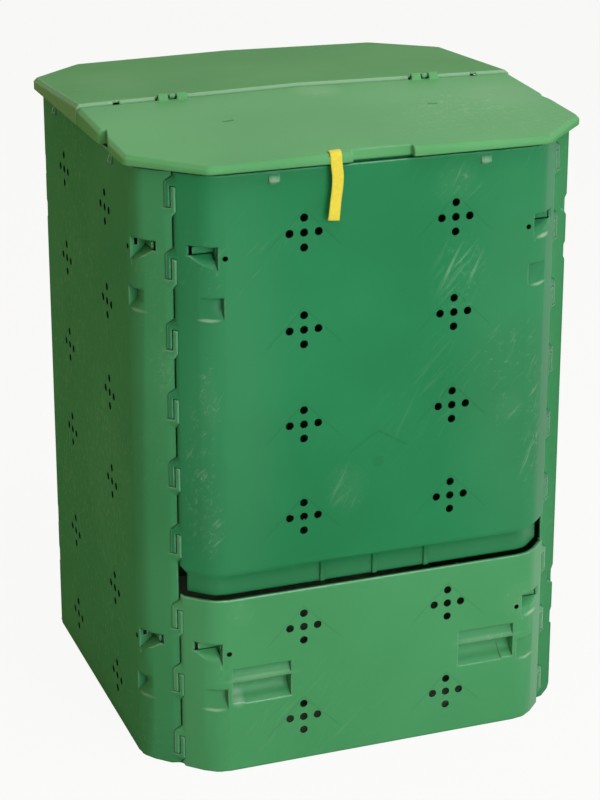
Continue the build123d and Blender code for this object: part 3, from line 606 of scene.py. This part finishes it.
def soft_shading():
    """Geometry nodes that smooth the faces and keep only the edges sharper than a bend sharp."""
    group, start, end = geometry_group("soft_shading")
    smooth = group.nodes.new("GeometryNodeSetShadeSmooth")
    smooth.domain = "FACE"
    feed(group, smooth.inputs["Geometry"], start)
    angle = group.nodes.new("GeometryNodeInputMeshEdgeAngle")
    steep = group.nodes.new("FunctionNodeCompare")
    steep.operation = "GREATER_THAN"
    feed(group, steep.inputs[0], angle.outputs["Unsigned Angle"])
    steep.inputs[1].default_value = math.radians(SHARP_ANGLE)
    sharp = group.nodes.new("GeometryNodeSetShadeSmooth")
    sharp.domain = "EDGE"
    sharp.inputs["Shade Smooth"].default_value = False
    feed(group, sharp.inputs["Geometry"], smooth.outputs["Geometry"])
    feed(group, sharp.inputs["Selection"], steep.outputs[0])
    feed(group, end, sharp.outputs["Geometry"])
    return group


JOINED = joined_facets()
SOFT = soft_shading()


def dress(node, material, rounding=0.0):
    """Gives a CAD node its material, and the edges of a plain moulding a small real radius."""
    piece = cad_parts[node]
    piece.data.materials.clear()
    piece.data.materials.append(material)
    piece.modifiers.new("join", "NODES").node_group = JOINED
    merge = piece.modifiers.new("merge", "DECIMATE")
    merge.decimate_type = "DISSOLVE"
    merge.angle_limit = math.radians(FLAT_ANGLE)
    if rounding:
        edges = piece.modifiers.new("edges", "BEVEL")
        edges.limit_method = "ANGLE"
        edges.angle_limit = math.radians(BEVEL_ANGLE)
        edges.width = rounding
        edges.segments = BEVEL_STEPS
        edges.use_clamp_overlap = False
    piece.modifiers.new("shading", "NODES").node_group = SOFT
    piece.modifiers.new("normals", "WEIGHTED_NORMAL").keep_sharp = True


dress("left_wall", side_plastic)
dress("right_wall", side_plastic)
dress("rear_wall", rear_plastic)
dress("front_upper_wall", front_plastic)
dress("front_door", door_plastic)
dress("rear_lid", rear_lid_plastic, rounding=0.0006)
dress("front_lid", lid_plastic, rounding=0.0014)
dress("left_hinge_pin", pin_plastic, rounding=0.0004)
dress("right_hinge_pin", pin_plastic, rounding=0.0004)

# The strap, in metres: its edges are thinner than its middle, and it has a hem at its hidden end
STRAP_THICKNESS = 0.0016
STRAP_COLUMNS = 8
STRAP_STEPS = 6
STRAP_TWIST = 5.0
EDGE_THINNING, EDGE_POWER = 0.55, 6
HEM_SHARE, HEM_LENGTH = 2.6, 0.009
SLOT_INSET = 0.0025


def spline(points, steps):
    """Points along a smooth line through the given ones."""
    ends = [2 * points[0] - points[1]] + points + [2 * points[-1] - points[-2]]
    line = []
    for before, start, end, after in zip(ends, ends[1:], ends[2:], ends[3:]):
        slope = end - before
        bend = 2 * before - 5 * start + 4 * end - after
        twist = 3 * start - before - 3 * end + after
        for step in range(steps):
            t = step / steps
            line.append(0.5 * (2 * start + slope * t + bend * t**2 + twist * t**3))
    return line + [points[-1]]


def strap_line(middle, face, root_box, tail_box):
    """The way of the strap: up from the hem through the slot, over the rim and down to its foot."""
    root_low, root_high = root_box
    tail_low, tail_high = tail_box
    slot = root_high.y - SLOT_INSET
    top = root_high.z - STRAP_THICKNESS / 2
    foot = tail_low.z
    drop = tail_high.z - foot
    points = [
        (0, slot, root_low.z + 0.001),
        (0, slot, root_low.z + 0.008),
        (0, slot - 0.0006, top - 0.002),
        (0, slot - 0.004, top + 0.0009),
        (-0.0005, face + 0.0068, top + 0.0004),
        (-0.001, face + 0.0016, top - 0.0032),
        (-0.001, face, top - 0.010),
        (0, face - 0.0004, foot + 0.98 * drop),
        (0.0015, face - 0.0016, foot + 0.80 * drop),
        (0.001, face - 0.0006, foot + 0.58 * drop),
        (-0.0015, face - 0.0004, foot + 0.36 * drop),
        (-0.004, face - 0.0018, foot + 0.15 * drop),
        (-0.0055, face - 0.0012, foot),
    ]
    return spline([Vector((middle + x, y, z)) for x, y, z in points], STRAP_STEPS)


def strap_mesh(line, lengths, width):
    """A closed band of rings along the line, with a flat layout in metres for the weave."""
    verts, faces, places = [], [], []
    ring = 2 * (STRAP_COLUMNS + 1)
    for index, (centre, along) in enumerate(zip(line, lengths)):
        ahead = (line[min(index + 1, len(line) - 1)] - line[max(index - 1, 0)]).normalized()
        lean = math.radians(STRAP_TWIST) * math.sin(math.tau * along / lengths[-1])
        sideways = Matrix.Rotation(lean, 3, ahead) @ (Vector((1, 0, 0)) - ahead * ahead.x).normalized()
        outward = sideways.cross(ahead)
        thick = STRAP_THICKNESS * (HEM_SHARE if along < HEM_LENGTH else 1)
        for side in (1, -1):
            for column in range(STRAP_COLUMNS + 1):
                share = side * (2 * column / STRAP_COLUMNS - 1)
                fullness = math.sqrt(max(0.0, 1 - share**EDGE_POWER))
                edge = EDGE_THINNING + (1 - EDGE_THINNING) * fullness
                verts.append(centre + sideways * (share * width / 2) + outward * (side * edge * thick / 2))
                places.append((share * width / 2, along))
    for row in range(len(line) - 1):
        low, high = row * ring, (row + 1) * ring
        for column in range(ring):
            after = (column + 1) % ring
            faces.append((low + column, low + after, high + after, high + column))
    last = (len(line) - 1) * ring
    faces.append(tuple(range(ring))[::-1])
    faces.append(tuple(range(last, last + ring)))
    mesh = bpy.data.meshes.new("lid_strap")
    mesh.from_pydata([tuple(v) for v in verts], [], faces)
    mesh.shade_smooth()
    weave = mesh.uv_layers.new(name="weave")
    for loop in mesh.loops:
        weave.data[loop.index].uv = places[loop.vertex_index]
    mesh.materials.append(strap_webbing)
    return mesh


def make_strap():
    """The pull strap, which stands for both CAD nodes of the strap and bends at the lid's rim."""
    root_low, root_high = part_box("lid_strap_root")
    tail_low, tail_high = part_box("lid_strap_tail")
    middle, width = (tail_low.x + tail_high.x) / 2, tail_high.x - tail_low.x
    face = root_low.y + STRAP_THICKNESS / 2
    line = strap_line(middle, face, (root_low, root_high), (tail_low, tail_high))
    lengths = [0.0]
    for here, there in zip(line, line[1:]):
        lengths.append(lengths[-1] + (there - here).length)
    strap = bpy.data.objects.new("lid_strap", strap_mesh(line, lengths, width))
    scene.collection.objects.link(strap)
    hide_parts("lid_strap_root", "lid_strap_tail")
    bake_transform(strap)


make_strap()

# Floor and room: the bin's outline on the floor in metres, and the light
FLOOR_HALF = 12.0
FLOOR_SHADOW = 0.08
BIN_HALF = 0.398
BIN_CORNER = 0.687
ROOM_STRENGTH = 0.30


def seen_share(tree):
    """1 for what the camera sees directly, in a reflection or through glass."""
    path = tree.nodes.new("ShaderNodeLightPath").outputs
    return largest(tree, path["Is Camera Ray"], path["Is Glossy Ray"], path["Is Transmission Ray"])


def mixed_shader(tree, share, first, second):
    made = tree.nodes.new("ShaderNodeMixShader")
    for socket, value in zip(made.inputs, (share, first, second)):
        feed(tree, socket, value)
    return made.outputs["Shader"]


def floor_material():
    """Pale paint that is nearly white to the camera except under the bin, with a soft shadow."""
    material, tree = new_material("floor")
    paint = tree.nodes.new("ShaderNodeBsdfDiffuse")
    paint.inputs["Color"].default_value = FLOOR_PAINT
    glow = tree.nodes.new("ShaderNodeEmission")
    glow.inputs["Color"].default_value = WHITE
    plan = split(tree, tree.nodes.new("ShaderNodeTexCoord").outputs["Object"])
    aside = [math_node(tree, "ABSOLUTE", plan[axis]) for axis in "XY"]
    beyond_sides = math_node(tree, "GREATER_THAN", largest(tree, *aside), BIN_HALF)
    beyond_corners = math_node(tree, "GREATER_THAN", math_node(tree, "ADD", *aside), BIN_CORNER)
    outside = largest(tree, beyond_sides, beyond_corners)
    share = product(tree, seen_share(tree), outside, 1 - FLOOR_SHADOW)
    show(tree, mixed_shader(tree, share, paint.outputs["BSDF"], glow.outputs["Emission"]))
    return material


def make_floor():
    mesh = bpy.data.meshes.new("floor")
    corners = [(-1, -1), (1, -1), (1, 1), (-1, 1)]
    mesh.from_pydata([(x * FLOOR_HALF, y * FLOOR_HALF, 0) for x, y in corners], [], [(0, 1, 2, 3)])
    mesh.materials.append(floor_material())
    floor = bpy.data.objects.new("floor", mesh)
    scene.collection.objects.link(floor)


def background(tree, colour, strength):
    made = tree.nodes.new("ShaderNodeBackground")
    made.inputs["Color"].default_value = colour
    made.inputs["Strength"].default_value = strength
    return made.outputs["Background"]


def make_room():
    """A dim warm room that is white where the camera looks."""
    world = bpy.data.worlds.new("studio")
    scene.world = world
    world.use_nodes = True
    tree = world.node_tree
    tree.nodes.clear()
    room = background(tree, ROOM_LIGHT, ROOM_STRENGTH)
    white = background(tree, WHITE, 1.0)
    show(tree, mixed_shader(tree, seen_share(tree), room, white), "ShaderNodeOutputWorld")


def area_light(name, place, aim, size, watts, colour=(1, 1, 1)):
    light = bpy.data.lights.new(name, "AREA")
    light.shape = "RECTANGLE"
    light.size, light.size_y = size
    light.energy = watts
    light.color = colour
    lamp = bpy.data.objects.new(name, light)
    lamp.location = place
    lamp.rotation_euler = (Vector(aim) - Vector(place)).to_track_quat("-Z", "Y").to_euler()
    scene.collection.objects.link(lamp)


make_floor()
make_room()

# Lamps: a large soft key from the front, fills from both sides, and two from above for the lid
area_light("key", (0.6, -4.5, 1.9), (0, 0, 0.6), size=(2.4, 2.6), watts=108, colour=(0.94, 1.0, 1.04))
area_light("right", (4.0, -2.6, 1.6), (0, 0, 0.5), size=(1.6, 2.2), watts=22)
area_light("left", (-4.0, 2.2, 1.5), (0, 0, 0.5), size=(2.0, 2.4), watts=32, colour=(1.0, 0.36, 0.18))
area_light("top", (0.5, -0.2, 4.1), (0, 0, 1.0), size=(3.0, 3.0), watts=30)
area_light("strip", (0.3, -1.5, 3.9), (0, -0.4, 0.9), size=(3.4, 0.35), watts=26)

# Camera at the photo's angle; the picture is 600 by 800, taken with the axis a little above its middle
AZIMUTH, ELEVATION = -20.23, 18.0
DISTANCE = 4.1939
TARGET = Vector((0.0046, 0.0, 0.7124))
FOCAL_PIXELS = 2269.3
AXIS_PIXELS = 300.0
PICTURE_HEIGHT = 800
SENSOR = 36.0


def make_camera():
    turn, tilt = math.radians(AZIMUTH), math.radians(ELEVATION)
    back = Vector((math.sin(turn) * math.cos(tilt), -math.cos(turn) * math.cos(tilt), math.sin(tilt)))
    camera_data = bpy.data.cameras.new("camera")
    camera_data.sensor_width = SENSOR
    camera_data.lens = FOCAL_PIXELS / PICTURE_HEIGHT * SENSOR
    camera_data.shift_y = AXIS_PIXELS / PICTURE_HEIGHT - 0.5
    camera = bpy.data.objects.new("camera", camera_data)
    camera.location = TARGET + back * DISTANCE
    camera.rotation_euler = (-back).to_track_quat("-Z", "Y").to_euler()
    scene.collection.objects.link(camera)
    scene.camera = camera


make_camera()
